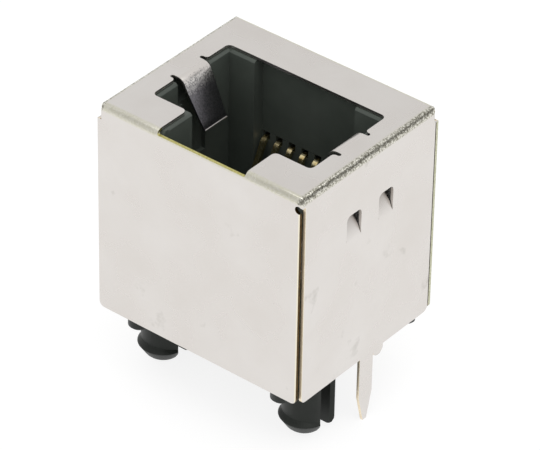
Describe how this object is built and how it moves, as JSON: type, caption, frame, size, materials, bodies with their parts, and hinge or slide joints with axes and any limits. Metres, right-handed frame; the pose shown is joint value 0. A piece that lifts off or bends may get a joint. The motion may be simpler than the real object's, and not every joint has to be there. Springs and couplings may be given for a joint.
{
  "type": "vertical rj45 board jack",
  "caption": "Upright shielded modular network jack with a plug cavity facing up, board pegs, ground pins and staggered contact tails.",
  "frame": {"origin": "on the board surface, midway between the axes of the two snap-in pegs", "axes": "+X along the contact row, +Y from the latch side to the contact side, +Z away from the board towards the plug mouth"},
  "size_m": [0.016, 0.0131, 0.0202],
  "materials": {
    "shield": "warm silver tin plating with a fine rolled grain, raw brass at the cut edges",
    "housing": "fine matt moulded black thermoplastic",
    "contact": "pale gold plating over phosphor bronze"
  },
  "bodies": {
    "root": {"shield": "shield", "housing": "housing", "contact_carrier": "housing", "contact_1": "contact", "contact_2": "contact", "contact_3": "contact", "contact_4": "contact", "contact_5": "contact", "contact_6": "contact", "contact_7": "contact", "contact_8": "contact"}
  },
  "joints": []
}
